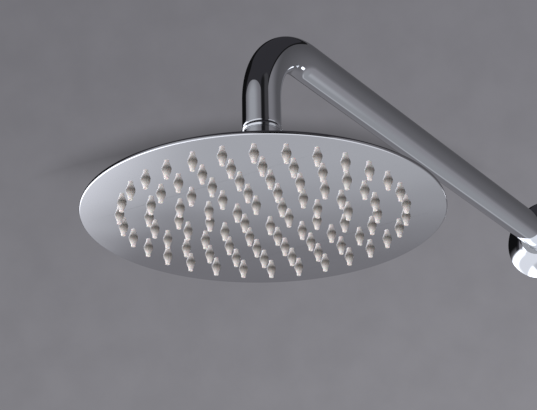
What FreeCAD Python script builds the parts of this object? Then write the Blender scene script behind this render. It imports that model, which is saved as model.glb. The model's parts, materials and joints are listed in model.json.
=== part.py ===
import FreeCAD, Part
import math
import os

# An overhead rain shower: a thin round head on a ball joint, under a bent wall arm.
# Millimetres and degrees. The origin is where the arm's axis meets the wall, +Z is up,
# and the arm runs from the wall towards -Y. "Height" means height above the spray face.

# ---- Arm ----
REACH = 380.0             # wall to the head's axis
TUBE_D = 22.0
TUBE_WALL = 1.0
BEND_RADIUS = 46.0        # of the tube's centre line
LEG_STRAIGHT = 17.0       # plain leg between the bend and the tube's lower end
END_FLARE = 0.35          # the lower end opens out by this much
END_FLARE_LENGTH = 2.6
NIPPLE_SPIGOT = 12.0      # how far a threaded nipple reaches into the tube
NIPPLE_BORE_D = 14.0
THREAD_D = 20.9           # outside of the half-inch pipe thread
THREAD_RELIEF = 1.3       # depth of the undercut between the lower thread and the tube
THREAD_RELIEF_WIDTH = 1.6
WALL_THREAD_LENGTH = 14.0  # beyond the wall's surface
WALL_STANDOFF = 3.0       # wall to the tube's end, hidden by the flange
BRAZE_GAP = 0.05          # nipple to tube, nut to thread

# ---- Wall flange ----
FLANGE_D = 60.0
FLANGE_DEPTH = 12.0
FLANGE_SHEET = 1.2
FLANGE_LIP = 2.0          # straight edge that meets the wall
FLANGE_COLLAR_WALL = 1.6
GRIP_RING_SIZE = 2.0
GRIP_RING_INSET = 2.4     # flange's front to the ring

# ---- Ball joint ----
BALL_D = 20.0
NECK_D = 12.0
WATERWAY_D = 8.0
NECK_FILLET = 2.0
NUT_GAP = 12.0            # ball's centre to the nut's underside
NUT_LENGTH = 18.3
NUT_WALL = 0.55           # around the thread
NUT_THREAD_DEPTH = 11.0
NUT_BEAD = 0.45           # the bead stands this far out of the nut's body
NUT_BEAD_HEIGHT = 3.2
NUT_SHOULDER = 0.7        # top of the nut to the widest line of its bead
NUT_LINE = 0.2            # depth of the turned line under the bead
NUT_EDGE = 0.4            # chamfer at the nut's lower edge
NUT_FLATS = 19.0          # across the spanner flats
NUT_FLATS_HEIGHT = 5.0
END_GROOVE = 0.5          # open line between tube and nut
TILT = 10.0               # swing either way, about each of the two tilt axes
TILT_MARGIN = 3.0
RUN_GAP = 0.05            # running clearance in the ball joint and along the arm
SEAT_THICKNESS = 2.4
SEAT_SPLIT = 3.0          # gap that lets the ring spread over the neck
SEAL_SPREAD = 45.0        # angle from the ball's lowest point to the seal's opening
SOCKET_WALL = 2.0
SOCKET_FLOOR = 3.0
SOCKET_FLANGE = 2.0
UNDER_BALL = 0.2          # ball's lowest point to the socket's floor
CAP_WALL = 2.4
CAP_LIP = 1.5
CAP_FLATS = 31.0
CAP_RING = 1.0            # sealing ring under the cap
SPIGOT_D = 16.0
SPIGOT_BORE_D = 12.0
GASKET = 1.0

# ---- Parts in the nut ----
WASHER = 2.0
SCREEN = 0.4              # woven mesh, too fine to model
LIMITER_D = 14.0
LIMITER_LENGTH = 4.0
LIMITER_HOLE_D = 5.0
LIMITER_RING = 1.0

# ---- Head ----
HEAD_D = 200.0
SHEET = 1.0               # each of the two stainless plates
FACE_CHAMFER = 0.4        # lower edge of the face plate
RIM_WIDTH = 9.0           # where the two plates lie on each other
CHAMBER = 4.0             # height of the water chamber
CHAMBER_SLOPE = 9.0       # width of the pressed slope inside the rim
CROWN_D = 54.0
CROWN_RISE = 2.0
CROWN_SLOPE = 13.0
LOCK_NUT = 2.6
LOCK_NUT_FLATS = 24.0
RING_COUNT = 5            # rings of nozzles
FIRST_RING_COUNT = 6      # nozzles in the first ring, and how many more each next one has
FIRST_RING_D = 29.0
SPRAY_MARGIN = 21.9       # edge of the head to the outermost ring of nozzles
NOZZLE_TURN = 48.3        # direction of the nozzle that every ring shares, from +X
NOZZLE_ROOT_D = 5.8
NOZZLE_TIP_D = 2.6
NOZZLE_LENGTH = 5.3       # below the spray face
NOZZLE_GAP = 0.1          # mat's nozzles to the holes in the face plate
NOZZLE_SIDES = 8
MAT = 1.0                 # sheet that joins the nozzles
MAT_MARGIN = 6.0          # outermost ring of nozzles to the mat's edge
POST_FLATS = 4.0          # across a hexagonal post
POST_RING_COUNTS = (2, 4)  # rings of nozzles inside each ring of posts
POST_COUNT = 6
POST_GAP = 0.3            # mat to post

# ---- Worked out from the above ----
tube_r = TUBE_D / 2
tube_inner_r = tube_r - TUBE_WALL
thread_r = THREAD_D / 2
nut_bore_r = thread_r + BRAZE_GAP
nut_r = nut_bore_r + NUT_WALL
bead_r = nut_r + NUT_BEAD
ball_r = BALL_D / 2
neck_r = NECK_D / 2
race_r = ball_r + RUN_GAP + SEAT_THICKNESS + RUN_GAP
socket_r = race_r + SOCKET_WALL
cap_bore_r = socket_r + BRAZE_GAP
cap_r = cap_bore_r + CAP_WALL
head_r = HEAD_D / 2
first_ring_r = FIRST_RING_D / 2
spray_r = head_r - SPRAY_MARGIN
ring_pitch = (spray_r - first_ring_r) / (RING_COUNT - 1)

mat_top = SHEET + MAT
plateau_under = SHEET + CHAMBER
crown_under = plateau_under + CROWN_RISE
crown_top = crown_under + SHEET
socket_under = crown_top + GASKET
socket_floor = socket_under + SOCKET_FLOOR
ball_height = socket_floor + UNDER_BALL + ball_r
nut_under = ball_height + NUT_GAP
nut_top = nut_under + NUT_LENGTH
nut_floor = nut_top - NUT_THREAD_DEPTH
tube_end = nut_top + END_GROOVE
leg_top = tube_end + LEG_STRAIGHT
drop = leg_top + BEND_RADIUS
arm_straight = REACH - BEND_RADIUS
SAME_POINT = 1e-6
EQUATOR = 90.0            # polar angle


# ---- Shapes ----
def point(corner):
    return FreeCAD.Vector(corner[0], 0, corner[1])


def outline(start, *steps):
    """A face in the XZ plane, from (radius, height) corners. A step that holds two
    corners is an arc: a point on it, then its end. A straight edge closes the outline
    unless an arc has brought it back to its start."""
    edges = []
    here = start
    for step in (*steps, start):
        if isinstance(step[0], tuple):
            edges.append(Part.Arc(point(here), point(step[0]), point(step[1])).toShape())
            here = step[1]
        elif math.dist(here, step) > SAME_POINT:
            edges.append(Part.LineSegment(point(here), point(step)).toShape())
            here = step
    return Part.Face(Part.Wire(edges))


def turned(start, *steps):
    """The outline turned a full circle about Z."""
    return outline(start, *steps).revolve(point((0, 0)), FreeCAD.Vector(0, 0, 1), 360)


def washer(inner_r, outer_r, low, high):
    return turned((inner_r, low), (outer_r, low), (outer_r, high), (inner_r, high))


def shoulder(start, end):
    """An arc step that leaves start along the axis and curves over to end."""
    across = end[0] - start[0]
    along = end[1] - start[1]
    radius = (across**2 + along**2) / (2 * abs(across))
    half = math.asin(abs(along) / radius) / 2
    via_r = start[0] + math.copysign(radius * (1 - math.cos(half)), across)
    via_z = start[1] + math.copysign(radius * math.sin(half), along)
    return ((via_r, via_z), end)


def into_shoulder(start, end):
    """The same arc run the other way, so that it reaches end along the axis."""
    return (shoulder(end, start)[0], end)


def on_ball(radius, polar):
    """The (radius, height) corner at a polar angle on a sphere about the ball's centre."""
    angle = math.radians(polar)
    return (radius * math.sin(angle), ball_height + radius * math.cos(angle))


def around_ball(radius, start, end):
    """An arc step on such a sphere, from one polar angle to another."""
    return (on_ball(radius, (start + end) / 2), on_ball(radius, end))


def spots(count, radius, turn=0.0):
    """Centres of count places evenly spaced on a circle."""
    angles = (math.radians(turn + 360 * i / count) for i in range(count))
    return [(radius * math.cos(a), radius * math.sin(a)) for a in angles]


def polygon(sides, radius, spot, height, turn=0.0):
    """A closed loop of corners round a spot, radius measured to its flats."""
    corner_r = radius / math.cos(math.pi / sides)
    corners = [
        FreeCAD.Vector(spot[0] + x, spot[1] + y, height)
        for x, y in spots(sides, corner_r, turn)
    ]
    return [*corners, corners[0]]


def prism(sides, radius, spot, low, high):
    """An upright bar with flat sides."""
    base = Part.Face(Part.makePolygon(polygon(sides, radius, spot, low)))
    return base.extrude(FreeCAD.Vector(0, 0, high - low))


def tapered_prism(sides, low_radius, high_radius, spot, low, high):
    """The same with a taper."""
    lower = polygon(sides, low_radius, spot, low)
    upper = polygon(sides, high_radius, spot, high)
    walls = [
        [lower[i], lower[i + 1], upper[i + 1], upper[i], lower[i]] for i in range(sides)
    ]
    faces = [Part.Face(Part.makePolygon(loop)) for loop in (lower, upper, *walls)]
    return Part.Solid(Part.Shell(faces))


def pierced_disc(radius, holes, low, high):
    """A round sheet with holes, each given as a closed loop of corners at its lower side."""
    rim = Part.makeCircle(radius, FreeCAD.Vector(0, 0, low))
    wires = [Part.Wire(rim), *(Part.makePolygon(loop) for loop in holes)]
    sheet = Part.makeFace(Part.Compound(wires), "Part::FaceMakerBullseye")
    return sheet.extrude(FreeCAD.Vector(0, 0, high - low))


def with_flats(shape, across, radius, low, high):
    """Two spanner flats, cut across X between two heights."""
    depth = radius - across / 2 + 1
    block = Part.makeBox(
        depth, 2 * radius, high - low, FreeCAD.Vector(across / 2, -radius, low)
    )
    for side in (0, 180):
        tool = block.copy()
        tool.rotate(FreeCAD.Vector(0, 0, 0), FreeCAD.Vector(0, 0, 1), side)
        shape = shape.cut(tool)
    return shape


def at_head(shape):
    """From heights above the spray face to the place under the arm."""
    return shape.translated(FreeCAD.Vector(0, -REACH, -drop))


def at_wall(shape):
    """From heights out of the wall, along the arm, to the arm's axis."""
    placed = shape.copy()
    placed.rotate(FreeCAD.Vector(0, 0, 0), FreeCAD.Vector(1, 0, 0), 90)
    return placed


# ---- Arm ----
def leg():
    """The upright end of the tube, which opens out at its lower edge."""
    flare_r = tube_r + END_FLARE
    roll = TUBE_WALL / 2
    return turned(
        (tube_inner_r, tube_end),
        (flare_r - roll, tube_end),
        (flare_r, tube_end + roll),
        shoulder((flare_r, tube_end + roll), (tube_r, tube_end + END_FLARE_LENGTH)),
        (tube_r, leg_top),
        (tube_inner_r, leg_top),
    )


def arm_tube():
    """A level run, a quarter bend and the leg."""
    along = FreeCAD.Vector(0, 1, 0)
    rims = [
        Part.Wire(Part.makeCircle(r, FreeCAD.Vector(0, 0, 0), along))
        for r in (tube_r, tube_inner_r)
    ]
    section = Part.makeFace(Part.Compound(rims), "Part::FaceMakerBullseye")
    run_start = section.translated(along * -WALL_STANDOFF)
    run = run_start.extrude(along * (WALL_STANDOFF - arm_straight))
    bend_start = section.translated(along * -arm_straight)
    bend_centre = FreeCAD.Vector(0, -arm_straight, -BEND_RADIUS)
    bend = bend_start.revolve(bend_centre, FreeCAD.Vector(1, 0, 0), 90)
    return run.multiFuse([bend, at_head(leg())]).removeSplitter()


def nipple(shoulder_height, thread_end, spigot_end, *undercut):
    """A threaded tail brazed into the tube. Heights run from thread to spigot."""
    bore_r = NIPPLE_BORE_D / 2
    lead = (thread_r - bore_r) / 3
    spigot_r = tube_inner_r - BRAZE_GAP
    return turned(
        (bore_r, thread_end),
        (thread_r - lead, thread_end),
        (thread_r, thread_end + lead),
        *(undercut or [(thread_r, shoulder_height)]),
        (spigot_r, shoulder_height),
        (spigot_r, spigot_end),
        (bore_r, spigot_end),
    )


def wall_nipple():
    return at_wall(
        nipple(WALL_STANDOFF, -WALL_THREAD_LENGTH, WALL_STANDOFF + NIPPLE_SPIGOT)
    )


def outlet_nipple():
    """The lower tail, whose thread ends in an undercut below the tube."""
    seat = nut_floor + SCREEN + WASHER
    relief_r = thread_r - THREAD_RELIEF
    relief_low = tube_end - THREAD_RELIEF_WIDTH
    undercut = [
        (thread_r, relief_low - THREAD_RELIEF),
        (relief_r, relief_low),
        (relief_r, tube_end),
    ]
    return at_head(nipple(tube_end, seat, tube_end + NIPPLE_SPIGOT, *undercut))


# ---- Wall flange ----
def wall_flange():
    """A pressed dome with a collar that runs on the tube and holds the grip ring."""
    rim_r = FLANGE_D / 2
    bore_r = tube_r + 2 * RUN_GAP
    groove_r = tube_r + RUN_GAP + GRIP_RING_SIZE + RUN_GAP
    collar_r = groove_r + FLANGE_COLLAR_WALL
    groove_top = FLANGE_DEPTH - GRIP_RING_INSET
    groove_low = groove_top - GRIP_RING_SIZE - 2 * RUN_GAP
    collar_low = groove_low - FLANGE_COLLAR_WALL
    edge = FLANGE_SHEET
    dome_end = (collar_r + edge, FLANGE_DEPTH - edge / 2)
    centre = (rim_r**2 + FLANGE_LIP**2 - dome_end[0] ** 2 - dome_end[1] ** 2) / (
        2 * (FLANGE_LIP - dome_end[1])
    )
    dome_r = math.hypot(rim_r, FLANGE_LIP - centre)

    def on_dome(radius, sphere):
        return (radius, centre + math.sqrt(sphere**2 - radius**2))

    inside = dome_r - FLANGE_SHEET
    inner_r = rim_r - FLANGE_SHEET
    middle_r = (rim_r + dome_end[0]) / 2
    return at_wall(
        turned(
            (inner_r, 0),
            (rim_r, 0),
            (rim_r, FLANGE_LIP),
            (on_dome(middle_r, dome_r), dome_end),
            (collar_r, FLANGE_DEPTH),
            (bore_r, FLANGE_DEPTH),
            (bore_r, groove_top),
            (groove_r, groove_top),
            (groove_r, groove_low),
            (bore_r, groove_low),
            (bore_r, collar_low),
            (collar_r, collar_low),
            on_dome(collar_r, inside),
            (on_dome((collar_r + inner_r) / 2, inside), on_dome(inner_r, inside)),
        )
    )


def flange_grip_ring():
    top = FLANGE_DEPTH - GRIP_RING_INSET - RUN_GAP
    inner_r = tube_r + RUN_GAP
    return at_wall(
        washer(inner_r, inner_r + GRIP_RING_SIZE, top - GRIP_RING_SIZE, top)
    )


# ---- Ball joint ----
def ball_nut():
    """The union nut, its neck and the hollow ball, turned from one bar."""
    waterway_r = WATERWAY_D / 2
    pocket_floor = nut_floor - LIMITER_LENGTH
    ball_low = ball_height - math.sqrt(ball_r**2 - waterway_r**2)
    neck_start = ball_height + math.sqrt(ball_r**2 - neck_r**2)
    fillet = NECK_FILLET * (1 - math.sqrt(0.5))
    bead_low = nut_top - NUT_BEAD_HEIGHT
    bead_widest = nut_top - NUT_SHOULDER
    line_r = nut_r - NUT_LINE
    body = turned(
        (waterway_r, ball_low),
        ((ball_r, ball_height), (neck_r, neck_start)),
        (neck_r, nut_under - NECK_FILLET),
        ((neck_r + fillet, nut_under - fillet), (neck_r + NECK_FILLET, nut_under)),
        (nut_r - NUT_EDGE, nut_under),
        (nut_r, nut_under + NUT_EDGE),
        (nut_r, bead_low - NUT_LINE),
        (line_r, bead_low),
        into_shoulder((line_r, bead_low), (bead_r, bead_widest)),
        shoulder((bead_r, bead_widest), (nut_bore_r + NUT_LINE, nut_top)),
        (nut_bore_r, nut_top),
        (nut_bore_r, nut_floor),
        (LIMITER_D / 2, nut_floor),
        (LIMITER_D / 2, pocket_floor),
        (waterway_r, pocket_floor),
    )
    return at_head(
        with_flats(body, NUT_FLATS, nut_r, nut_under - 1, nut_under + NUT_FLATS_HEIGHT)
    )


def seat_ring():
    """The split ring above the ball's equator that the cap presses on the ball."""
    inner = ball_r + RUN_GAP
    outer = inner + SEAT_THICKNESS
    top = math.degrees(math.asin(neck_r / ball_r)) + TILT + TILT_MARGIN
    low = EQUATOR - TILT - TILT_MARGIN / 2
    ring = turned(
        on_ball(inner, low),
        on_ball(outer, low),
        around_ball(outer, low, top),
        on_ball(inner, top),
        around_ball(inner, top, low),
    )
    split = Part.makeBox(
        SEAT_SPLIT, 2 * outer, 2 * outer, FreeCAD.Vector(-SEAT_SPLIT / 2, 0, ball_height)
    )
    return at_head(ring.cut(split))


def ball_seal():
    """The soft cup below the ball's equator, which turns in the socket."""
    inner = ball_r + RUN_GAP
    top = EQUATOR + 2 * TILT_MARGIN
    low = 2 * EQUATOR - SEAL_SPREAD
    return at_head(
        turned(
            on_ball(inner, top),
            (race_r - RUN_GAP, on_ball(inner, top)[1]),
            (race_r - RUN_GAP, socket_floor + RUN_GAP),
            (on_ball(inner, low)[0], socket_floor + RUN_GAP),
            on_ball(inner, low),
            around_ball(inner, low, top),
        )
    )


def ball_socket():
    """A threaded cup with a base flange, and a spigot through the crown."""
    spigot_end = crown_under - LOCK_NUT - SHEET / 4
    bore_r = SPIGOT_BORE_D / 2
    flange_r = cap_r + CAP_RING
    flange_top = socket_under + SOCKET_FLANGE
    return at_head(
        turned(
            (bore_r, spigot_end),
            (SPIGOT_D / 2, spigot_end),
            (SPIGOT_D / 2, socket_under),
            (flange_r, socket_under),
            (flange_r, flange_top),
            (socket_r, flange_top),
            (socket_r, ball_height),
            (race_r, ball_height),
            (race_r, socket_floor),
            (bore_r, socket_floor),
        )
    )


def ball_cap():
    """The ring nut that holds the seat ring down, rounded over at its top."""
    lip_r = ball_r + 3 * RUN_GAP
    lip_height = ball_height + math.sqrt(race_r**2 - lip_r**2)
    top = lip_height + CAP_LIP
    low = socket_under + SOCKET_FLANGE + CAP_RING
    seat_angle = math.degrees(math.asin(lip_r / race_r))
    body = turned(
        on_ball(race_r, EQUATOR),
        around_ball(race_r, EQUATOR, seat_angle),
        (lip_r, top),
        (lip_r + CAP_LIP, top),
        into_shoulder((lip_r + CAP_LIP, top), (cap_r, ball_height + CAP_WALL)),
        (cap_r, low),
        (cap_bore_r, low),
        (cap_bore_r, ball_height),
    )
    return at_head(with_flats(body, CAP_FLATS, cap_r, low - 1, ball_height))


def cap_ring():
    low = socket_under + SOCKET_FLANGE
    return at_head(washer(cap_bore_r, cap_r, low, low + CAP_RING))


def socket_gasket():
    return at_head(washer(SPIGOT_D / 2 + BRAZE_GAP, cap_r, crown_top, socket_under))


def socket_lock_nut():
    low = crown_under - LOCK_NUT
    blank = prism(6, LOCK_NUT_FLATS / 2, (0, 0), low, crown_under)
    hole = Part.makeCylinder(
        SPIGOT_D / 2 + BRAZE_GAP, LOCK_NUT, FreeCAD.Vector(0, 0, low)
    )
    return at_head(blank.cut(hole))


# ---- In the nut ----
def inlet_washer():
    low = nut_floor + SCREEN
    return at_head(
        washer(NIPPLE_BORE_D / 2, thread_r - BRAZE_GAP, low, low + WASHER)
    )


def filter_screen():
    """A disc of woven wire under the washer."""
    return at_head(pierced_disc(thread_r - BRAZE_GAP, [], nut_floor, nut_floor + SCREEN))


def flow_limiter():
    """A plug with a metering hole, and a groove for its ring."""
    hole_r = LIMITER_HOLE_D / 2
    outer_r = LIMITER_D / 2 - BRAZE_GAP
    groove_r = outer_r - LIMITER_RING
    low = nut_floor - LIMITER_LENGTH
    groove_low = nut_floor - (LIMITER_LENGTH + LIMITER_RING) / 2
    groove_top = groove_low + LIMITER_RING
    return at_head(
        turned(
            (hole_r, low),
            (outer_r, low),
            (outer_r, groove_low),
            (groove_r, groove_low),
            (groove_r, groove_top),
            (outer_r, groove_top),
            (outer_r, nut_floor),
            (hole_r, nut_floor),
        )
    )


def limiter_ring():
    outer_r = LIMITER_D / 2 - BRAZE_GAP
    low = nut_floor - (LIMITER_LENGTH + LIMITER_RING) / 2
    return at_head(washer(outer_r - LIMITER_RING, outer_r, low, low + LIMITER_RING))


# ---- Head ----
def nozzle_spots():
    """Every nozzle's place: rings of 6, 12, 18 and so on, with one direction shared."""
    return [
        spot
        for ring in range(RING_COUNT)
        for spot in spots(
            FIRST_RING_COUNT * (ring + 1), first_ring_r + ring_pitch * ring, NOZZLE_TURN
        )
    ]


def post_spots():
    """Posts stand between two rings of nozzles."""
    return [
        spot
        for ring in POST_RING_COUNTS
        for spot in spots(
            POST_COUNT, first_ring_r + ring_pitch * (ring - 0.5), NOZZLE_TURN
        )
    ]


def face_plate():
    """The polished spray face, with one hole for each nozzle."""
    hole_r = NOZZLE_ROOT_D / 2 + NOZZLE_GAP
    holes = [polygon(NOZZLE_SIDES, hole_r, spot, 0) for spot in nozzle_spots()]
    plate = pierced_disc(head_r, holes, 0, SHEET)
    rim = [
        edge
        for edge in plate.Edges
        if edge.BoundBox.ZMax < SHEET / 2 and edge.BoundBox.XLength > head_r
    ]
    return at_head(plate.makeChamfer(FACE_CHAMFER, rim))


def nozzle_mat():
    """One soft sheet on the face plate, whose tapered nozzles stand out through it."""
    holes = [polygon(6, POST_FLATS / 2 + POST_GAP, spot, SHEET) for spot in post_spots()]
    sheet = pierced_disc(spray_r + MAT_MARGIN, holes, SHEET, mat_top)
    tip_r = NOZZLE_TIP_D / 2
    root_r = NOZZLE_ROOT_D / 2
    nozzles = [
        tapered_prism(NOZZLE_SIDES, tip_r, root_r, spot, -NOZZLE_LENGTH, SHEET)
        for spot in nozzle_spots()
    ]
    return at_head(sheet.multiFuse(nozzles))


def back_plate():
    """The pressed upper plate: flat rim, slope to the chamber's roof, raised crown."""
    rim_in = head_r - RIM_WIDTH
    roof_out = rim_in - CHAMBER_SLOPE
    crown_r = CROWN_D / 2
    roof_in = crown_r + CROWN_SLOPE
    hole_r = SPIGOT_D / 2 + BRAZE_GAP
    under = [
        (hole_r, crown_under),
        (crown_r, crown_under),
        (roof_in, plateau_under),
        (roof_out, plateau_under),
        (rim_in, SHEET),
        (head_r, SHEET),
    ]
    top = [(r, height + SHEET) for r, height in reversed(under)]
    return at_head(turned(*under, *top))


def support_posts():
    """Short posts that tie the chamber's roof to the spray face."""
    posts = [
        prism(6, POST_FLATS / 2, spot, SHEET, plateau_under) for spot in post_spots()
    ]
    return at_head(Part.Compound(posts))


PIECES = (
    arm_tube,
    wall_nipple,
    outlet_nipple,
    wall_flange,
    flange_grip_ring,
    ball_nut,
    inlet_washer,
    filter_screen,
    flow_limiter,
    limiter_ring,
    seat_ring,
    ball_seal,
    ball_socket,
    ball_cap,
    cap_ring,
    socket_gasket,
    socket_lock_nut,
    back_plate,
    face_plate,
    nozzle_mat,
    support_posts,
)

os.makedirs("parts", exist_ok=True)
for piece in PIECES:
    piece().exportStep(f"parts/{piece.__name__}.step")
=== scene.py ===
"""Visual model of an overhead rain shower: a round head on a ball joint under a bent arm."""

import json
import math

import bmesh
import bpy
from mathutils import Matrix, Vector


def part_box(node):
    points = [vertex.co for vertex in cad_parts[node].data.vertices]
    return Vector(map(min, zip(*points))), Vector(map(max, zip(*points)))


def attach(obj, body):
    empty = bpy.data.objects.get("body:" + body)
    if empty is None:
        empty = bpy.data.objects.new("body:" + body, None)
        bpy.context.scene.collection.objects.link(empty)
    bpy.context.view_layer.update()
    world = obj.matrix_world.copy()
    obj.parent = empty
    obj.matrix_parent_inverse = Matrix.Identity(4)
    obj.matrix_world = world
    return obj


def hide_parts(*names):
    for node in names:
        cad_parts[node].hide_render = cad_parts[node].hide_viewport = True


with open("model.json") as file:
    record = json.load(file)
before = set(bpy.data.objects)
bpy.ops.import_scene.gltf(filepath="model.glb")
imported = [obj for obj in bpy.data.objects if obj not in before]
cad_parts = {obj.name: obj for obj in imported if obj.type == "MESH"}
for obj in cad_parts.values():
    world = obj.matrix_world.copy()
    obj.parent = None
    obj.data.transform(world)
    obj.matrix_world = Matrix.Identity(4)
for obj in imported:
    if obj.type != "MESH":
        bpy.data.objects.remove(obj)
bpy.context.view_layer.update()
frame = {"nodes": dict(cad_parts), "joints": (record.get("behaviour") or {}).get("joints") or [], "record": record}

MM = 0.001

# ---- The camera: fitted to the head's outline, its nozzles and the arm ----
PICTURE = (537, 410)
FACE_CENTRE_PX = (263.16, 215.47)   # where the middle of the spray face falls
FOCAL_PX = 1726.7
CAMERA_DISTANCE = 0.941             # camera to the middle of the spray face
CAMERA_AZIMUTH = 33.39              # from +Y towards -X
CAMERA_LOOK_UP = 23.73
CAMERA_ROLL = -0.91
SENSOR = 36.0

# ---- Where things are, from the frame ----
# HEAD_Y and FACE_Z are in metres, as the frame is, and the rest is in millimetres. A height
# is above the spray face. On the arm's wall end it is the distance out of the wall.
face_low, face_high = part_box("face_plate")
tube_low, tube_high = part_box("arm_tube")
nut_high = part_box("ball_nut")[1]
cap_low, cap_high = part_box("ball_cap")
flange_low, flange_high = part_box("wall_flange")
mat_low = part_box("nozzle_mat")[0]
HEAD_Y = (face_low.y + face_high.y) / 2
FACE_Z = face_low.z
joint_place = {j["name"]: j.get("pos_m") for j in frame["joints"]}


def height(z):
    """How far above the spray face a z of the frame is, in millimetres."""
    return (z - FACE_Z) / MM


HEAD_R = (face_high.x - face_low.x) / 2 / MM
TUBE_R = tube_high.z / MM
TUBE_END = height(tube_low.z)
TUBE_START = -tube_high.y / MM
REACH = -HEAD_Y / MM
DROP = -FACE_Z / MM
NUT_TOP = height(nut_high.z)
BALL_HEIGHT = height(joint_place["head_turn"][2])
NOZZLE_LENGTH = -height(mat_low.z)

# ---- Shapes, in millimetres ----
TUBE_WALL = 1.0
TUBE_CHAMFER = 0.3        # on the edge of its wall end
BEND_RADIUS = 46.0
END_ROUND = (0.8, 2.4)    # round on the tube's lower edge, across and along
NUT_LENGTH = 18.3
NUT_BORE_R = 10.5
NUT_BEAD_R = nut_high.x / MM
NUT_WALL = 0.55
NUT_THREAD_DEPTH = 11.0
NUT_BEAD_HEIGHT = 3.0
NUT_SHOULDER = (0.5, 1.05)    # lean of the bead above its widest line, across and along
NUT_LEAN = (0.42, 1.15)   # its lean below that line
NUT_BEAD_EDGES = (0.1, 0.15, 0.15)    # roundings of the bead's edges, from below
NUT_LINE = (0.3, 0.6)     # the turned line under the bead, across and along
NUT_LINE_EDGES = (0.08, 0.05)         # roundings of the line's edges, from below
NUT_EDGE = 0.4
NUT_FLATS = 19.0
NUT_FLATS_HEIGHT = 5.0
NECK_R = 6.0
NECK_FILLET = 2.0
BALL_R = 10.0
WATERWAY_R = 4.0
LIMITER_R = 7.0
LIMITER_LENGTH = 4.0
SEAT_OUTER_R = 12.5
CAP_LIP_R = 10.15
CAP_BORE_R = 14.55
CAP_R = cap_high.y / MM + REACH
CAP_FLATS = 31.0
CAP_LIP = 1.5             # level width of the lip, before the dome starts
CAP_LIP_EDGE = 0.25
CAP_DOME_LOW = 2.4        # the dome ends this far above the ball's centre
CAP_LINE_TOP = 0.6        # a turned line starts this far below that centre
CAP_LINE = 0.35           # its depth, and half its width
CAP_LINE_EDGE = 0.1
CAP_EDGES = (0.3, 0.2)    # roundings of the lower edge, outside and inside
FLANGE_R = flange_high.x / MM
FLANGE_DEPTH = -flange_low.y / MM
FLANGE_SHEET = 1.2
FLANGE_LIP = 2.0          # height of the straight edge at the wall
FLANGE_EDGE = 0.3
COLLAR_R = 14.7
COLLAR_EDGE = 0.5
FLANGE_BORE_R = 11.1
RING_GROOVE_R = 13.1
RING_GROOVE = (7.5, 9.6)  # where the grip ring's groove starts and ends
COLLAR_LOW = 5.9          # where the collar starts
THREAD_R = 10.45
THREAD_PITCH = 1.814
THREAD_DEPTH = 1.16
THREAD_FLANK = 2.6        # rise of a flank, in depths per pitch
THREAD_ROOT = 0.25        # what the flat root takes off that rise
THREAD_LENGTH = 14.0
THREAD_LEAD = (1.1, 2.4)  # chamfer at the free end, across and along
NIPPLE_BORE_R = 7.0
NIPPLE_SPIGOT_R = 9.95
NIPPLE_SPIGOT = 15.0      # how far out of the wall it reaches inside the tube
SHEET = 1.0               # thickness of the face, the back plate and the mat
RIM_ROUND = 0.5           # round on the lower edge of the face
RIM_LEAN_R = 3.5          # above it, the rim curves inwards by this radius
RIM_WIDTH = 9.0
CHAMBER_SLOPE = 9.0       # width of the slope from the rim to the roof
CROWN_R = 27.0
CROWN_SLOPE = 13.0        # width of the slope from the roof to the crown
ROOF = 5.0                # underside of the chamber's roof
CROWN = 7.0               # underside of the crown
SPIGOT_HOLE_R = 8.05
RING_COUNT = 5
RING_STEP = 6             # nozzles in the first ring, and added from ring to ring
FIRST_RING_R = 14.5
SPRAY_R = 78.1
NOZZLE_TURN = 48.3        # turn of the whole pattern, in degrees
NOZZLE_FACE_R = 2.65      # radius where it comes out of the face
NOZZLE_TIP_R = 1.3
NOZZLE_TIP_LENGTH = 0.7   # straight part at its end
NOZZLE_TIP_EDGE = 0.25
HOLE_R = 2.45             # the foot of the nozzle covers its edge
HOLE_EDGE = 0.25
HOLE_GAP = 0.05           # between the hole and the nozzle above its foot
OUTLET_R = 0.45
OUTLET_DEPTH = 1.6
OUTLET_EDGE = 0.12
MAT_R = 84.1
AXIS_R = 0.01             # an outline that meets its axis stops this far from it


def radians(*degrees):
    """Several angles in radians."""
    return [math.radians(d) for d in degrees]


def quarter(steps):
    """The angles of a quarter turn in equal steps, in radians."""
    return radians(*(90 * k / steps for k in range(steps + 1)))


# ---- Outlines ----
def softened(corners, steps=6):
    """An outline's points. A corner is (radius, height) or (radius, height, rounding)."""
    points = []
    count = len(corners)
    for i, corner in enumerate(corners):
        here = Vector(corner[:2])
        if len(corner) < 3:
            points.append(here)
            continue
        before = (Vector(corners[i - 1][:2]) - here).normalized()
        after = (Vector(corners[(i + 1) % count][:2]) - here).normalized()
        half = before.angle(after) / 2
        reach = corner[2] / math.tan(half)
        centre = here + (before + after).normalized() * corner[2] / math.sin(half)
        start = here + before * reach - centre
        end = here + after * reach - centre
        sweep = math.atan2(
            start.x * end.y - start.y * end.x, start.x * end.x + start.y * end.y
        )
        for k in range(steps + 1):
            points.append(centre + Matrix.Rotation(sweep * k / steps, 2) @ start)
    return [(p[0], p[1]) for p in points]


def arc(centre, radius, start, end, steps):
    """Points on a circle, from one polar angle off the axis to another."""
    angles = (math.radians(start + (end - start) * k / steps) for k in range(steps + 1))
    return [
        (centre[0] + radius * math.sin(a), centre[1] + radius * math.cos(a))
        for a in angles
    ]


def s_curve(start, end, steps=12):
    """A pressed slope that leaves and arrives level."""
    points = []
    for k in range(steps + 1):
        t = k / steps
        rise = t * t * (3 - 2 * t)
        points.append(
            (start[0] + (end[0] - start[0]) * t, start[1] + (end[1] - start[1]) * rise)
        )
    return points


# ---- Meshes ----
SHARP_ANGLE = 32.0        # faces that meet at more than this show an edge
CUT_WIDE = 40.0           # reaches past the side of any piece, in millimetres
CUT_PAST = 1.0            # how far flats are cut past a piece's lower edge


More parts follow.
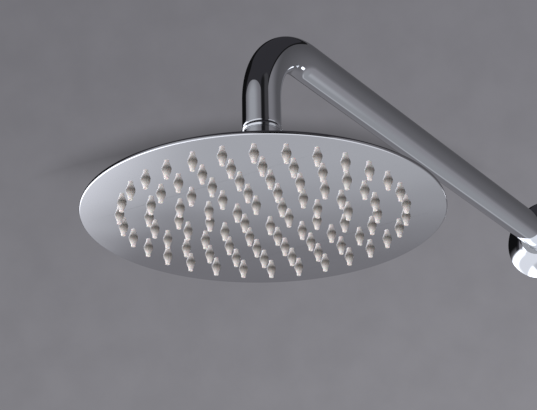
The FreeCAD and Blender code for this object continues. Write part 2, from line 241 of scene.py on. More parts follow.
def piece_from(mesh_data, name, body, slot, *nodes):
    """A finished mesh as a piece that rides, replaces its nodes and has its material."""
    mesh = bpy.data.meshes.new(name)
    mesh_data.to_mesh(mesh)
    mesh_data.free()
    mesh.polygons.foreach_set("use_smooth", [True] * len(mesh.polygons))
    mesh.set_sharp_from_angle(angle=math.radians(SHARP_ANGLE))
    piece = bpy.data.objects.new(name, mesh)
    bpy.context.scene.collection.objects.link(piece)
    mesh.materials.append(MATERIALS[slot])
    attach(piece, body)
    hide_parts(*nodes)
    return piece


def bridge(bm, rings):
    """Faces between neighbouring rings of vertices, and between the last and the first."""
    for lower, upper in zip(rings, rings[1:] + rings[:1]):
        count = len(lower)
        for k in range(count):
            after = (k + 1) % count
            bm.faces.new((lower[k], lower[after], upper[after], upper[k]))


def ring_of(bm, radii, level, place):
    """A ring of vertices about the axis, one for each radius."""
    ring = []
    for k, radius in enumerate(radii):
        a = 2 * math.pi * k / len(radii)
        ring.append(bm.verts.new(place(radius * math.cos(a), radius * math.sin(a), level)))
    return ring


def lathe(bm, outline, segments, place):
    """Turns a closed outline about the axis. place puts (x, y, height) into the frame."""
    bridge(bm, [ring_of(bm, [radius] * segments, level, place) for radius, level in outline])


def lathed(outline, segments, place):
    """A finished mesh with one turned outline in it."""
    bm = bmesh.new()
    lathe(bm, outline, segments, place)
    tidy(bm)
    return bm


def on_head(x, y, level):
    """A place in the frame from one on the spray face and a height above it."""
    return Vector((x, y - REACH, level - DROP)) * MM


def on_face(x, y):
    """Like on_head, about a place on the spray face instead of the head's axis."""
    return lambda across, along, level: on_head(x + across, y + along, level)


def on_wall(x, y, level):
    """A place in the frame. Heights run out of the wall, along the arm."""
    return Vector((x, -level, y)) * MM


def tidy(bm):
    """Joins vertices that coincide, and turns every face outwards."""
    bmesh.ops.remove_doubles(bm, verts=bm.verts, dist=1e-7)
    bmesh.ops.recalc_face_normals(bm, faces=bm.faces)


def minus(bm, cutter):
    """Takes one closed mesh out of another."""
    made = []
    for source in (bm, cutter):
        mesh = bpy.data.meshes.new("work")
        source.to_mesh(mesh)
        source.free()
        made.append(bpy.data.objects.new("work", mesh))
        bpy.context.scene.collection.objects.link(made[-1])
    whole, tool = made
    cut = whole.modifiers.new("cut", "BOOLEAN")
    cut.operation = "DIFFERENCE"
    cut.solver = "EXACT"
    cut.object = tool
    graph = bpy.context.evaluated_depsgraph_get()
    result = bmesh.new()
    result.from_mesh(bpy.data.meshes.new_from_object(whole.evaluated_get(graph)))
    for work in made:
        bpy.data.objects.remove(work)
    return result


def cut_flats(bm, across, low, high):
    """Two spanner flats across X: the stretch between two heights is planed off."""
    depth = CUT_WIDE - across / 2
    for side in (-1, 1):
        middle = side * (across / 2 + depth / 2)
        cutter = bmesh.new()
        bmesh.ops.create_cube(cutter, size=1.0)
        for v in cutter.verts:
            v.co = Vector((
                (middle + v.co.x * depth) * MM,
                HEAD_Y + v.co.y * CUT_WIDE * 2 * MM,
                ((low + high) / 2 + v.co.z * (high - low)) * MM + FACE_Z,
            ))
        bm = minus(bm, cutter)
    return bm


# ---- Materials ----
JOINT_SHADE = (1.8, 2.4)      # painted shade in the arm's joint: full this near to the tube's end, and gone this far away


class Nodes:
    """A node tree, with short ways to add to it."""

    def __init__(self, tree):
        self.tree = tree

    def node(self, kind, inputs=None, **settings):
        """Adds a node. An input is a value, or a socket to link."""
        made = self.tree.nodes.new("ShaderNode" + kind)
        for key, value in settings.items():
            setattr(made, key, value)
        for key, value in (inputs or {}).items():
            if isinstance(value, bpy.types.NodeSocket):
                self.tree.links.new(value, made.inputs[key])
            else:
                made.inputs[key].default_value = value
        return made

    def math(self, operation, *values):
        """The result of an operation on values or sockets."""
        return self.node("Math", dict(enumerate(values)), operation=operation).outputs[0]

    def mix(self, factor, first, second):
        """Two colours blended by a factor; any of the three may be a socket."""
        blend = self.node("Mix", data_type="RGBA")
        for index, value in ((0, factor), (6, first), (7, second)):
            if isinstance(value, bpy.types.NodeSocket):
                self.tree.links.new(value, blend.inputs[index])
            else:
                blend.inputs[index].default_value = (*value, 1) if index else value
        return blend.outputs[2]

    def ramp(self, value, start, end, low=0.0, high=1.0, soft=True):
        """Low where the value is start, high where it is end, and held outside them."""
        return self.node(
            "MapRange",
            {"Value": value, "From Min": start, "From Max": end,
             "To Min": low, "To Max": high},
            interpolation_type="SMOOTHSTEP" if soft else "LINEAR",
        ).outputs["Result"]


class Paint(Nodes):
    """A material with a Principled shader, and short ways to feed it."""

    def __init__(self, name, color, metallic=0.0, roughness=0.5, **sockets):
        self.material = bpy.data.materials.new(name)
        self.material.use_nodes = True
        super().__init__(self.material.node_tree)
        self.shader = self.tree.nodes["Principled BSDF"]
        self.shader.inputs["Base Color"].default_value = (*color, 1)
        self.shader.inputs["Metallic"].default_value = metallic
        self.shader.inputs["Roughness"].default_value = roughness
        for socket, value in sockets.items():
            self.shader.inputs[socket.replace("_", " ")].default_value = value

    def place(self, scale=(1, 1, 1)):
        """The object's own coordinates, in metres, stretched."""
        where = self.node("TexCoord").outputs["Object"]
        return self.node("Mapping", {"Vector": where, "Scale": scale}).outputs[0]

    def noise(self, scale, detail=3.0, stretch=(1, 1, 1)):
        """Noise in the object's own coordinates."""
        return self.node(
            "TexNoise",
            {"Vector": self.place(stretch), "Scale": scale, "Detail": detail,
             "Roughness": 0.55},
        ).outputs["Fac"]

    def spread(self, value, low, high, start=0.3, end=0.7):
        """A noise value's middle range, spread from low to high."""
        return self.ramp(value, start, end, low, high, soft=False)

    def feed(self, socket, value):
        """Links a socket's value to one of the shader's inputs."""
        self.tree.links.new(value, self.shader.inputs[socket])

    def bump(self, value, depth):
        """Relief of the given depth, in metres."""
        made = self.node("Bump", {"Height": value, "Distance": depth})
        self.feed("Normal", made.outputs[0])


def chrome_plate():
    """Bright plate with the faintest polishing haze and wipe marks."""
    paint = Paint("chrome_plate", (0.80, 0.815, 0.83), metallic=1.0, roughness=0.03)
    haze = paint.noise(60.0, 4.0)
    marks = paint.noise(900.0, 2.0, (1, 0.15, 1))
    both = paint.math("MULTIPLY", haze, marks)
    paint.feed("Roughness", paint.spread(both, 0.01, 0.04, 0.1, 0.5))
    return paint.material


def polished_stainless():
    """Buffed sheet: a near-mirror with buffing haze and a slight roll of the sheet."""
    paint = Paint("polished_stainless", (0.78, 0.78, 0.79), metallic=1.0, roughness=0.08)
    haze = paint.noise(35.0, 5.0)
    grain = paint.noise(1400.0, 2.0, (1, 0.2, 1))
    both = paint.math("MULTIPLY", haze, grain)
    paint.feed("Roughness", paint.spread(both, 0.03, 0.07, 0.1, 0.5))
    paint.bump(paint.noise(14.0, 1.0), 0.00012)
    return paint.material


def bare_brass():
    """Machined brass with turning marks and tarnish, and painted shade in the groove at the arm's joint."""
    paint = Paint("bare_brass", (0.76, 0.56, 0.27), metallic=1.0, roughness=0.3)
    tarnish = paint.spread(paint.noise(180.0, 5.0), 0.0, 1.0)
    color = paint.mix(tarnish, (0.80, 0.60, 0.30), (0.58, 0.40, 0.19))
    level = paint.node("SeparateXYZ", {0: paint.place()}).outputs[2]
    # Painted shade in the groove at the arm's joint: the brass goes near black round the tube's end.
    off = paint.math("ABSOLUTE", paint.math("SUBTRACT", level, FACE_Z + TUBE_END * MM))
    joint_shade = paint.ramp(off, JOINT_SHADE[1] * MM, JOINT_SHADE[0] * MM)
    paint.feed("Base Color", paint.mix(joint_shade, color, (0.006, 0.006, 0.007)))
    paint.feed("Roughness", paint.spread(paint.noise(500.0), 0.18, 0.42))
    paint.bump(paint.noise(2600.0, 2.0, (1, 1, 4)), 0.00002)
    return paint.material


def nozzle_silicone():
    """Warm grey silicone with moulding speckle, with painted shade at the nozzles' feet that fades out towards the
    paler tips.
    """
    paint = Paint(
        "nozzle_silicone", (0.60, 0.54, 0.49), roughness=0.4, Subsurface_Weight=0.1,
        Subsurface_Scale=0.001, Coat_Weight=0.8, Coat_Roughness=0.1,
    )
    level = paint.node("SeparateXYZ", {0: paint.place()}).outputs[2]
    # Painted shade: darkest where a nozzle meets the face, fading to the pale colour at its tip.
    foot_shade_fade = paint.ramp(level, FACE_Z, FACE_Z - NOZZLE_LENGTH * MM)
    speckle = paint.spread(paint.noise(1500.0, 3.0), 0.94, 1.0)
    color = paint.mix(foot_shade_fade, (0.20, 0.18, 0.16), (0.93, 0.86, 0.82))
    paint.feed("Base Color", paint.mix(speckle, (0.0, 0.0, 0.0), color))
    paint.feed("Roughness", paint.spread(paint.noise(900.0), 0.35, 0.55))
    paint.bump(paint.noise(4000.0, 2.0), 0.00002)
    return paint.material


def seal_rubber():
    """Black moulded rubber with a faint bloom."""
    paint = Paint("seal_rubber", (0.022, 0.022, 0.023), roughness=0.6)
    bloom = paint.spread(paint.noise(700.0, 4.0), 0.0, 1.0)
    paint.feed("Base Color", paint.mix(bloom, (0.018, 0.018, 0.019), (0.04, 0.04, 0.042)))
    paint.feed("Roughness", paint.spread(paint.noise(1200.0), 0.5, 0.72))
    paint.bump(paint.noise(5000.0, 2.0), 0.00002)
    return paint.material


def acetal():
    """White plastic with flow marks."""
    paint = Paint(
        "acetal", (0.82, 0.82, 0.79), roughness=0.34, Subsurface_Weight=0.15,
        Subsurface_Scale=0.001,
    )
    flow = paint.spread(paint.noise(300.0, 3.0), 0.0, 1.0)
    paint.feed("Base Color", paint.mix(flow, (0.79, 0.79, 0.755), (0.85, 0.85, 0.82)))
    paint.feed("Roughness", paint.spread(paint.noise(1600.0), 0.28, 0.42))
    paint.bump(paint.noise(3500.0, 2.0), 0.00001)
    return paint.material


def wire_mesh():
    """Woven stainless wire: two sets of fine waves crossing."""
    paint = Paint("wire_mesh", (0.5, 0.5, 0.51), metallic=1.0, roughness=0.35)
    waves = [
        paint.node(
            "TexWave", {"Vector": paint.place(), "Scale": 900.0}, bands_direction=axis
        ).outputs["Fac"]
        for axis in "XY"
    ]
    weave = paint.math("MAXIMUM", *waves)
    paint.feed("Base Color", paint.mix(weave, (0.05, 0.05, 0.05), (0.62, 0.62, 0.63)))
    paint.bump(weave, 0.0001)
    return paint.material


def post_stainless():
    """Plain steel with turning marks."""
    paint = Paint("post_stainless", (0.55, 0.55, 0.56), metallic=1.0, roughness=0.3)
    paint.feed("Roughness", paint.spread(paint.noise(900.0, 3.0, (1, 1, 6)), 0.2, 0.4))
    paint.bump(paint.noise(3000.0, 2.0, (1, 1, 6)), 0.00001)
    return paint.material


MATERIALS = {
    make.__name__: make()
    for make in (
        chrome_plate, polished_stainless, bare_brass, nozzle_silicone, seal_rubber,
        acetal, wire_mesh, post_stainless,
    )
}


# ---- The arm ----
def arm_tube():
    """A level run, a quarter bend and a leg with a long round on its lower edge."""
    run = REACH - BEND_RADIUS
    leg_top = DROP - BEND_RADIUS
    end_top = TUBE_END + END_ROUND[1]
    inner = TUBE_R - TUBE_WALL
    run_steps = 12
    bend_steps = 60
    leg_steps = 6
    round_steps = 12
    segments = 96

    # A station is the centre of a ring, its direction away from the bend, and its radius.
    def on_run(along, radius):
        return Vector((0, -along, 0)), Vector((0, 0, 1)), radius

    def on_bend(turn, radius):
        a = math.radians(turn)
        out = Vector((0, -math.sin(a), math.cos(a)))
        return Vector((0, -run, -BEND_RADIUS)) + out * BEND_RADIUS, out, radius

    def on_leg(level, radius):
        return Vector((0, -REACH, level - DROP)), Vector((0, -1, 0)), radius

    outside = [
        on_run(TUBE_START + TUBE_CHAMFER, TUBE_R),
        *(on_run(run * k / run_steps, TUBE_R) for k in range(1, run_steps)),
        *(on_bend(90 * k / bend_steps, TUBE_R) for k in range(bend_steps + 1)),
        *(
            on_leg(leg_top - (leg_top - end_top) * k / leg_steps, TUBE_R)
            for k in range(1, leg_steps + 1)
        ),
        *(
            on_leg(end_top - END_ROUND[1] * math.sin(a),
                   TUBE_R - END_ROUND[0] * (1 - math.cos(a)))
            for a in quarter(round_steps)[1:]
        ),
    ]
    inside = [
        on_leg(TUBE_END, inner),
        on_leg(leg_top, inner),
        *(on_bend(90 - 90 * k / bend_steps, inner) for k in range(bend_steps + 1)),
        on_run(TUBE_START, inner),
        on_run(TUBE_START, TUBE_R - TUBE_CHAMFER),
    ]
    bm = bmesh.new()
    rings = []
    for centre, out, radius in outside + inside:
        ring = []
        for k in range(segments):
            a = 2 * math.pi * k / segments
            spoke = Vector((1, 0, 0)) * math.cos(a) + out * math.sin(a)
            ring.append(bm.verts.new((centre + spoke * radius) * MM))
        rings.append(ring)
    bridge(bm, rings)
    tidy(bm)
    piece_from(bm, "polished_arm_tube", "arm", "chrome_plate", "arm_tube")


def wall_nipple():
    """The threaded tail: a helical ridge on its wall end, plain inside the tube."""
    segments = 72
    levels = 60               # about six in each turn of the thread
    low = -THREAD_LENGTH
    high = TUBE_START

    def thread_radius(level, turn):
        """The radius at a height, and at a share of a turn round the axis."""
        phase = (level / THREAD_PITCH - turn) % 1.0
        ridge = (0.5 - abs(phase - 0.5)) * THREAD_FLANK - THREAD_ROOT
        crest = THREAD_R - THREAD_DEPTH * (1 - min(max(ridge, 0), 1))
        lead = 1 - min((level - low) / THREAD_LEAD[1], 1.0)
        return min(crest, THREAD_R - THREAD_LEAD[0] * lead)

    bm = bmesh.new()
    rings = []
    for i in range(levels + 1):
        level = low + (high - low) * i / levels
        radii = [thread_radius(level, k / segments) for k in range(segments)]
        rings.append(ring_of(bm, radii, level, on_wall))
    plain = [
        (NIPPLE_SPIGOT_R, high), (NIPPLE_SPIGOT_R, NIPPLE_SPIGOT),
        (NIPPLE_BORE_R, NIPPLE_SPIGOT), (NIPPLE_BORE_R, low),
    ]
    rings += [ring_of(bm, [radius] * segments, level, on_wall) for radius, level in plain]
    bridge(bm, rings)
    tidy(bm)
    piece_from(bm, "threaded_tail", "arm", "bare_brass", "wall_nipple")


# ---- The union nut, its neck and the ball ----
def ball_nut():
    """The union nut with its bead, the neck under it and the bored ball."""
    under = NUT_TOP - NUT_LENGTH
    nut_floor = NUT_TOP - NUT_THREAD_DEPTH
    pocket = nut_floor - LIMITER_LENGTH
    bead_low = NUT_TOP - NUT_BEAD_HEIGHT
    widest = NUT_TOP - NUT_SHOULDER[1]
    body_r = NUT_BORE_R + NUT_WALL
    ball_low = 180 - math.degrees(math.asin(WATERWAY_R / BALL_R))
    ball_high = math.degrees(math.asin(NECK_R / BALL_R))
    outline = softened([
        *arc((0, BALL_HEIGHT), BALL_R, ball_low, ball_high, 40),
        (NECK_R, under, NECK_FILLET),
        (body_r, under, NUT_EDGE),
        (body_r, bead_low, NUT_LINE_EDGES[0]),
        (body_r - NUT_LINE[0], bead_low + NUT_LINE[1], NUT_LINE_EDGES[1]),
        (NUT_BEAD_R - NUT_LEAN[0], widest - NUT_LEAN[1], NUT_BEAD_EDGES[0]),
        (NUT_BEAD_R, widest, NUT_BEAD_EDGES[1]),
        (NUT_BEAD_R - NUT_SHOULDER[0], NUT_TOP, NUT_BEAD_EDGES[2]),
        (NUT_BORE_R, NUT_TOP),
        (NUT_BORE_R, nut_floor),
        (LIMITER_R, nut_floor),
        (LIMITER_R, pocket),
        (WATERWAY_R, pocket),
    ])
    bm = lathed(outline, 128, on_head)
    bm = cut_flats(bm, NUT_FLATS, under - CUT_PAST, under + NUT_FLATS_HEIGHT)
    piece_from(bm, "union_nut_and_ball", "arm", "chrome_plate", "ball_nut")


def ball_cap():
    """The domed nut round the ball's seat, with a turned line and two flats."""
    top = height(cap_high.z)
    low = height(cap_low.z)
    lip_angle = math.degrees(math.asin(CAP_LIP_R / SEAT_OUTER_R))
    dome_r = CAP_LIP_R + CAP_LIP
    dome_low = BALL_HEIGHT + CAP_DOME_LOW
    line_top = BALL_HEIGHT - CAP_LINE_TOP
    outline = softened([
        *arc((0, BALL_HEIGHT), SEAT_OUTER_R, 90, lip_angle, 20),
        (CAP_LIP_R, top, CAP_LIP_EDGE),
        *(
            (dome_r + (CAP_R - dome_r) * math.sin(a), dome_low + (top - dome_low) * math.cos(a))
            for a in quarter(16)
        ),
        (CAP_R, line_top, CAP_LINE_EDGE),
        (CAP_R - CAP_LINE, line_top - CAP_LINE),
        (CAP_R, line_top - CAP_LINE * 2, CAP_LINE_EDGE),
        (CAP_R, low, CAP_EDGES[0]),
        (CAP_BORE_R, low, CAP_EDGES[1]),
        (CAP_BORE_R, BALL_HEIGHT),
    ])
    bm = lathed(outline, 128, on_head)
    bm = cut_flats(bm, CAP_FLATS, low - CUT_PAST, BALL_HEIGHT)
    piece_from(bm, "domed_cap", "head", "chrome_plate", "ball_cap")


# ---- The wall flange ----
def wall_flange():
    """A sheet dome with a turned lip, and a collar with a groove for the grip ring."""
    lip_in = FLANGE_R - FLANGE_SHEET
    end = (COLLAR_R + FLANGE_SHEET, FLANGE_DEPTH - FLANGE_SHEET / 2)
    # The dome's centre lies as far from the lip's edge as from the collar's.
    centre = (FLANGE_R**2 + FLANGE_LIP**2 - end[0] ** 2 - end[1] ** 2) / (
        2 * (FLANGE_LIP - end[1])
    )
    dome = math.hypot(FLANGE_R, FLANGE_LIP - centre)
    inner_dome = dome - FLANGE_SHEET

    def polar(radius, sphere):
        return math.degrees(math.asin(radius / sphere))

    outline = softened([
        (lip_in, 0, FLANGE_EDGE),
        (FLANGE_R, 0, FLANGE_EDGE),
        *arc((0, centre), dome, polar(FLANGE_R, dome), polar(end[0], dome), 32),
        (COLLAR_R, FLANGE_DEPTH, COLLAR_EDGE),
        (FLANGE_BORE_R, FLANGE_DEPTH, FLANGE_EDGE),
        (FLANGE_BORE_R, RING_GROOVE[1]),
        (RING_GROOVE_R, RING_GROOVE[1]),
        (RING_GROOVE_R, RING_GROOVE[0]),
        (FLANGE_BORE_R, RING_GROOVE[0]),
        (FLANGE_BORE_R, COLLAR_LOW),
        (COLLAR_R, COLLAR_LOW),
        *arc(
            (0, centre), inner_dome, polar(COLLAR_R, inner_dome),
            polar(lip_in, inner_dome), 24,
        ),
    ])
    bm = lathed(outline, 128, on_wall)
    piece_from(bm, "domed_flange", "flange", "chrome_plate", "wall_flange")


# ---- The head ----
def nozzle_spots():
    """Where the nozzles stand on the face: rings with a steady pitch."""
    pitch = (SPRAY_R - FIRST_RING_R) / (RING_COUNT - 1)
    spots = []
    for ring in range(RING_COUNT):
        count = RING_STEP * (ring + 1)
        radius = FIRST_RING_R + pitch * ring
        for k in range(count):
            a = math.radians(NOZZLE_TURN + 360 * k / count)
            spots.append((radius * math.cos(a), radius * math.sin(a)))
    return spots


def nozzles():
    """The soft mat: its sheet above the face, and the nozzles that stand out of it."""
    tip = -NOZZLE_LENGTH
    neck = tip + NOZZLE_TIP_LENGTH
    body_r = HOLE_R - HOLE_GAP
    taper = s_curve((neck, NOZZLE_TIP_R), (0, NOZZLE_FACE_R), 10)
    outline = softened([
        (AXIS_R, tip + OUTLET_DEPTH),
        (OUTLET_R, tip + OUTLET_DEPTH),
        (OUTLET_R, tip, OUTLET_EDGE),
        (NOZZLE_TIP_R, tip, NOZZLE_TIP_EDGE),
        *((radius, level) for level, radius in taper),
        (body_r, HOLE_EDGE),
        (body_r, SHEET),
        (AXIS_R, SHEET),
    ], 4)
    sheet = [(AXIS_R, SHEET), (MAT_R, SHEET), (MAT_R, SHEET * 2), (AXIS_R, SHEET * 2)]
    bm = bmesh.new()
    for x, y in nozzle_spots():
        lathe(bm, outline, 24, on_face(x, y))
    lathe(bm, sheet, 96, on_head)
    tidy(bm)
    piece_from(bm, "soft_nozzles", "head", "nozzle_silicone", "nozzle_mat")


def face_plate():
    """The polished face: a flat sheet with a rounded edge and a round hole per nozzle."""
    curve = bpy.data.curves.new("face", "CURVE")
    curve.dimensions = "2D"
    curve.fill_mode = "BOTH"
    curve.extrude = (SHEET / 2 - HOLE_EDGE) * MM
    curve.bevel_depth = HOLE_EDGE * MM
    curve.bevel_resolution = 3
    curve.offset = -HOLE_EDGE * MM

    def ring(x, y, radius, count):
        """A round outline: the disc's own, or a hole's."""
        spline = curve.splines.new("POLY")
        spline.points.add(count - 1)
        for k, point in enumerate(spline.points):
            a = 2 * math.pi * k / count
            point.co = (
                (x + radius * math.cos(a)) * MM, (y + radius * math.sin(a)) * MM, 0, 1
            )
        spline.use_cyclic_u = True

    ring(0, 0, HEAD_R, 256)
    for x, y in nozzle_spots():
        ring(x, y, HOLE_R, 32)
    work = bpy.data.objects.new("face", curve)
    bpy.context.scene.collection.objects.link(work)
    graph = bpy.context.evaluated_depsgraph_get()
    flat = bpy.data.meshes.new_from_object(work.evaluated_get(graph))
    bpy.data.objects.remove(work)
    bm = bmesh.new()
    bm.from_mesh(flat)
    bmesh.ops.translate(bm, verts=bm.verts, vec=Vector((0, 0, SHEET / 2 * MM)))
    shape_rim(bm)
    bmesh.ops.translate(bm, verts=bm.verts, vec=on_head(0, 0, 0))
    tidy(bm)
    piece = piece_from(bm, "mirror_face", "head", "polished_stainless", "face_plate")
    hold_flats(piece.data)


def rim_inset(level):
    """How far the rim's side leans in at a height above the spray face."""
    return RIM_LEAN_R - math.sqrt(RIM_LEAN_R**2 - (level - RIM_ROUND) ** 2)


def shape_rim(bm):
    """Widens the bevel on the disc's outer edge: a round below, a slight lean above."""
    bevel_in = HOLE_EDGE * 1.02    # a little more than the bevel, so that all of it moves
    for v in bm.verts:
        radius = math.hypot(v.co.x, v.co.y) / MM
        inset = HEAD_R - radius
        if inset > bevel_in:
            continue
        level = v.co.z / MM
        if level < SHEET / 2:
            inset *= RIM_ROUND / HOLE_EDGE
            level *= RIM_ROUND / HOLE_EDGE
        else:
            inset = rim_inset(level)
        grow = (HEAD_R - inset) / radius
        v.co = Vector((v.co.x * grow, v.co.y * grow, level * MM))


def hold_flats(mesh):
    """Marks the edges round level faces as sharp, so that rounded edges don't tint them."""
    bm = bmesh.new()
    bm.from_mesh(mesh)
    upright = 0.9999          # a level face's normal points up or down by at least this much
    for e in bm.edges:
        level = [abs(f.normal.z) > upright for f in e.link_faces]
        if any(level) and not all(level):
            e.smooth = False
    bm.to_mesh(mesh)
    bm.free()


def back_plate():
    """The pressed plate: flat rim, slope to the chamber's roof, raised crown."""
    rim_in = HEAD_R - RIM_WIDTH
    roof_out = rim_in - CHAMBER_SLOPE
    roof_in = CROWN_R + CROWN_SLOPE
    under = [(SPIGOT_HOLE_R, CROWN)]
    under += s_curve((CROWN_R, CROWN), (roof_in, ROOF))
    under += s_curve((roof_out, ROOF), (rim_in, SHEET))
    upper = [(r, level + SHEET) for r, level in under]
    rim = [
        (HEAD_R - rim_inset(level), level)
        for level in (SHEET * (1 + k / 8) for k in range(9))
    ]
    outline = softened(under + rim + upper[::-1])
    bm = lathed(outline, 256, on_head)
    piece_from(bm, "pressed_back", "head", "polished_stainless", "back_plate")


for make in (
    arm_tube, wall_nipple, ball_nut, ball_cap, wall_flange, nozzles, face_plate, back_plate
):
    make()

# The nodes that stay as they are take their slot's material.
slot_of = {s["node"]: s["material_slot"] for s in frame["record"]["subparts"]}
for name, node in frame["nodes"].items():
    if not node.hide_render:
        node.data.materials.clear()
        node.data.materials.append(MATERIALS[slot_of[name]])


# ---- Floor, light and camera ----
FLOOR_Z = -2.1            # such a head hangs about two metres up
FLOOR_R = 9.0


def make_floor():
    """A plain pale disc that the mirrors don't show."""
    mesh = bpy.data.meshes.new("floor")
    bm = bmesh.new()
    bmesh.ops.create_circle(bm, cap_ends=True, segments=64, radius=FLOOR_R)
    bm.to_mesh(mesh)
    bm.free()
    floor = bpy.data.objects.new("floor", mesh)
    floor.location = (0, HEAD_Y, FLOOR_Z)
    bpy.context.scene.collection.objects.link(floor)
    floor.visible_glossy = False
    paint = Paint("pale_floor", (0.80, 0.80, 0.81), roughness=0.7)
    tone = paint.spread(paint.noise(3.0, 4.0), 0.0, 1.0)
    paint.feed("Base Color", paint.mix(tone, (0.78, 0.78, 0.79), (0.82, 0.82, 0.83)))
    mesh.materials.append(paint.material)


def turned(first, second, angle):
    """A pair of directions turned in their own plane, first towards second."""
    return (
        math.cos(angle) * first + math.sin(angle) * second,
        math.cos(angle) * second - math.sin(angle) * first,
    )


def make_camera():
    """The photograph's view of the head, from below and in front."""
    azimuth, up, roll = radians(CAMERA_AZIMUTH, CAMERA_LOOK_UP, CAMERA_ROLL)
    level = Vector((-math.sin(azimuth), math.cos(azimuth), 0))
    right = Vector((math.cos(azimuth), math.sin(azimuth), 0))
    look = math.cos(up) * level + math.sin(up) * Vector((0, 0, 1))
    above = right.cross(look)
    place = Vector((0, HEAD_Y, FACE_Z)) - look * CAMERA_DISTANCE
    # Turned so that the middle of the face falls on its own pixel.
    off_x = FACE_CENTRE_PX[0] - PICTURE[0] / 2
    off_y = FACE_CENTRE_PX[1] - PICTURE[1] / 2
    pan = math.atan(off_x / FOCAL_PX)
    dip = math.atan(-off_y * math.cos(pan) / FOCAL_PX)
    look, right = turned(look, right, -pan)
    look, above = turned(look, above, -dip)
    right, above = turned(right, above, roll)
    data = bpy.data.cameras.new("camera")
    data.sensor_width = SENSOR
    data.lens = FOCAL_PX * SENSOR / PICTURE[0]
    data.clip_start = 0.01
    data.clip_end = 60.0
    camera = bpy.data.objects.new("camera", data)
    bpy.context.scene.collection.objects.link(camera)
    turn = Matrix((right, above, -look)).transposed()
    camera.matrix_world = Matrix.Translation(place) @ turn.to_4x4()
    bpy.context.scene.camera = camera


# Directions are an azimuth from +X towards +Y and an elevation, in degrees. Each soft
# panel lies over the ones before it, with its own level of light at its upper and lower
# edge. Its upper corners are rounded. Its sides and top fade over a share of the corner,
# and its bottom over a number of degrees. A part of a panel shows only inside the panel
# before it.
PANEL, PART = False, True
SOFT_PANELS = [
    # azimuths, elevations, corner, share, bottom fade, upper level, lower level
    (PANEL, (-20, 190), (-8, 50), (52, 21), 0.05, 4, 0.010, 0.010),     # cornice
    (PANEL, (-16, 190), (-22, 46), (47, 18), 0.05, 18, 0.22, 0.22),     # wall behind
    (PART, (24, 210), (-22, 50), (27, 1), 1.9, 18, 0.085, 0.15),        # darker part
    (PANEL, (-30, 175), (-95, -22), (20, 12), 0.9, 4, 0.27, 0.42),      # its foot
    (PANEL, (104, 170), (-30, 14), (26, 12), 0.6, 10, 0.19, 0.19),      # by the window
    (PANEL, (80, 156), (-44, -24), (36, 7), 0.9, 10, 0.32, 0.32),       # low strip
    (PANEL, (106, 164), (-28, -24), (14, 4), 0.9, 2, 0.46, 0.46),       # its bright edge
    (PANEL, (175, 345), (-95, -2), (30, 12), 0.5, 4, 0.58, 0.62),       # floor in front
    (PANEL, (-200, 200), (-95, -44), (10, 14), 0.9, 4, 1.0, 1.0),       # white basin
    (PANEL, (200, 304), (-14, 44), (50, 19), 0.03, 10, 0.19, 0.24),     # wall in front
    (PART, (221, 275), (-14, 43), (27, 20), 1.26, 14, 0.375, 0.375),    # softbox on it
    (PANEL, (126, 196), (14, 52), (12, 6), 0.5, 8, 0.006, 0.006),       # room on the left
    (PANEL, (132, 214), (-60, -16), (26, 12), 0.55, 20, 2.4, 2.4),      # window
    (PANEL, (160, 214), (-44, 8), (16, 10), 0.6, 10, 2.4, 2.4),         # its upper part
    (PANEL, (304, 345), (-44, 48), (16, 12), 0.2, 8, 0.055, 0.055),     # unlit corner
    (PANEL, (300, 322), (-44, 48), (12, 8), 0.9, 8, 0.012, 0.012),      # its darkest part
    (PANEL, (178, 300), (-27, -2), (20, 8), 0.9, 6, 0.85, 0.85),        # sunlit floor
    (PANEL, (-16, 28), (-27, -4), (14, 8), 0.6, 6, 0.50, 0.50),         # on the right
    (PANEL, (84.5, 93), (-20.5, -11), (3, 3), 0.6, 3, 2.2, 2.2),        # small lamp
]
COOL = (0.975, 1.0, 1.09)          # tint of the lights
NEUTRAL = (1.0, 0.985, 1.09)       # tint of what they fall on
LIGHT_LEVEL = 0.3                  # a panel brighter than this counts as a light
DARK_CEILING = (0.033, 0.032, 0.038)
BACKDROP_HIGH = (0.184, 0.181, 0.200)
BACKDROP_LOW = (0.236, 0.232, 0.253)
BACKDROP_SPAN = (32.0, 14.0)       # the elevations of these two
BACKDROP_SIDES = (0.94, 1.07)      # its level at the picture's left and right
BACKDROP_HALF = 9.0                # half the picture's width, in degrees
MOTTLE = (0.96, 1.04)              # how much its tone wavers
MOTTLE_SCALE = 45.0
SHADE_SIZE = (6.6, 2.5)            # half size of the painted shadow above the head, in degrees
SHADE_END = 1.4                    # it fades out at this share of its size
SHADE_LOW = (0.35, 1.0)            # and starts between these shares of its half height
SHADE = 0.5                        # how much darker the painted shadow makes the wall above the head
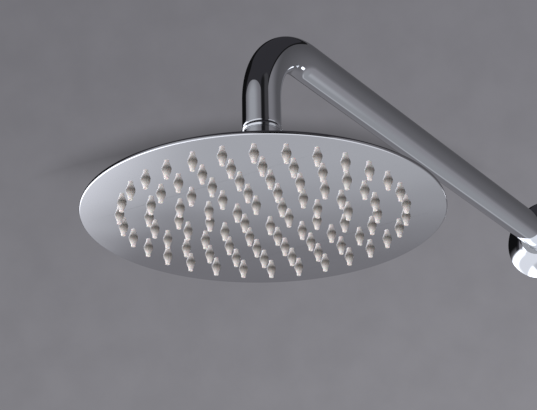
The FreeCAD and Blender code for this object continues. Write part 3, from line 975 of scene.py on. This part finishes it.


class Sky(Nodes):
    """The world's node tree, with short ways to place tones by azimuth and elevation."""

    def __init__(self, tree):
        super().__init__(tree)
        self.direction = self.node("TexCoord").outputs["Generated"]
        way = self.node("SeparateXYZ", {0: self.direction}).outputs
        self.azimuth = self.math("DEGREES", self.math("ARCTAN2", way[1], way[0]))
        self.elevation = self.math("DEGREES", self.math("ARCSINE", way[2]))

    def length(self, across, above):
        """How far a place is from a middle, from its distances sideways and upwards."""
        squares = (self.math("MULTIPLY", part, part) for part in (across, above))
        return self.math("SQRT", self.math("ADD", *squares))

    def arch(self, azimuths, elevations, corner, share, bottom_fade):
        """One inside a panel with rounded upper corners, zero outside it."""
        half = (azimuths[1] - azimuths[0]) / 2
        turn = self.math("SUBTRACT", self.azimuth, azimuths[0] + half)
        off = self.math("ABSOLUTE", self.math("WRAP", turn, 180.0, -180.0))
        side = self.math("SUBTRACT", off, half - corner[0])
        top = self.math("SUBTRACT", self.elevation, elevations[1] - corner[1])
        across, above = (
            self.math("DIVIDE", self.math("MAXIMUM", past, 0.0), size)
            for past, size in zip((side, top), corner)
        )
        low = elevations[0]
        return self.math(
            "MULTIPLY", self.ramp(self.length(across, above), 1 + share / 2, 1 - share / 2),
            self.ramp(self.elevation, low - bottom_fade / 2, low + bottom_fade / 2),
        )

    def room(self):
        """The soft panels over a dark ceiling."""
        light = DARK_CEILING
        inside = 1.0
        for is_part, azimuths, elevations, corner, share, fade, upper, lower in SOFT_PANELS:
            before = inside
            inside = self.arch(azimuths, elevations, corner, share, fade)
            if is_part:
                inside = self.math("MULTIPLY", inside, before)
            tint = COOL if upper > LIGHT_LEVEL else NEUTRAL
            ends = (tuple(c * level for c in tint) for level in (lower, upper))
            panel = self.mix(self.ramp(self.elevation, *elevations), *ends)
            light = self.mix(inside, light, panel)
        return light

    def backdrop(self):
        """A mottled wall that is paler below, with a painted shadow of the head just above it."""
        off = self.math("SUBTRACT", self.azimuth, 90 + CAMERA_AZIMUTH)
        # The sine runs back to where it was behind the camera, which leaves no seam there.
        sine = self.math("SINE", self.math("RADIANS", off))
        edge = math.sin(math.radians(BACKDROP_HALF))
        side = self.ramp(sine, edge, -edge, *BACKDROP_SIDES, soft=False)
        noise = self.node(
            "TexNoise", {"Vector": self.direction, "Scale": MOTTLE_SCALE, "Detail": 4.0}
        )
        mottle = self.ramp(noise.outputs["Fac"], 0.2, 0.8, *MOTTLE)
        # A painted shadow of the head on the wall, just above it.
        across = self.math("DIVIDE", off, SHADE_SIZE[0])
        rise = self.math("SUBTRACT", self.elevation, CAMERA_LOOK_UP)
        up = self.math("DIVIDE", rise, SHADE_SIZE[1])
        clear = self.math(
            "MAXIMUM", self.ramp(self.length(across, up), 1.0, SHADE_END),
            self.ramp(up, SHADE_LOW[1], SHADE_LOW[0]),
        )
        shade = self.ramp(clear, 0.0, 1.0, 1 - SHADE, soft=False)
        tone = self.math("MULTIPLY", self.math("MULTIPLY", side, mottle), shade)
        plain = self.mix(self.ramp(self.elevation, *BACKDROP_SPAN), BACKDROP_HIGH, BACKDROP_LOW)
        return self.node("VectorMath", {0: plain, "Scale": tone}, operation="SCALE").outputs[0]


def make_world():
    """The room that the mirrors show, and a plain backdrop that only the camera sees."""
    world = bpy.data.worlds.new("studio")
    world.use_nodes = True
    bpy.context.scene.world = world
    sky = Sky(world.node_tree)
    by_camera = sky.node("LightPath").outputs["Is Camera Ray"]
    seen = sky.mix(by_camera, sky.room(), sky.backdrop())
    sky.tree.links.new(seen, sky.tree.nodes["Background"].inputs["Color"])


LIGHTS = [
    # name, azimuth, elevation, distance and size in metres, power in watts
    ("light_from_the_left", 215, -20, 1.4, 1.0, 10.5),
    ("light_in_front", 290, -30, 1.6, 1.6, 12.5),
    ("light_above", 250, 75, 6.0, 9.0, 450.0),
]


def make_light(name, azimuth, elevation, distance, size, power):
    """A soft square light aimed at the head. The mirrors show the world instead of it."""
    data = bpy.data.lights.new(name, "AREA")
    data.size = size
    data.energy = power
    light = bpy.data.objects.new(name, data)
    turn, rise = radians(azimuth, elevation)
    way = Vector((
        math.cos(rise) * math.cos(turn), math.cos(rise) * math.sin(turn), math.sin(rise)
    ))
    light.location = Vector((0, HEAD_Y, FACE_Z)) + way * distance
    light.rotation_euler = way.to_track_quat("Z", "Y").to_euler()
    light.visible_glossy = False
    light.visible_camera = False
    bpy.context.scene.collection.objects.link(light)


make_floor()
make_world()
for light in LIGHTS:
    make_light(*light)
make_camera()
bpy.context.scene.view_settings.view_transform = "Standard"
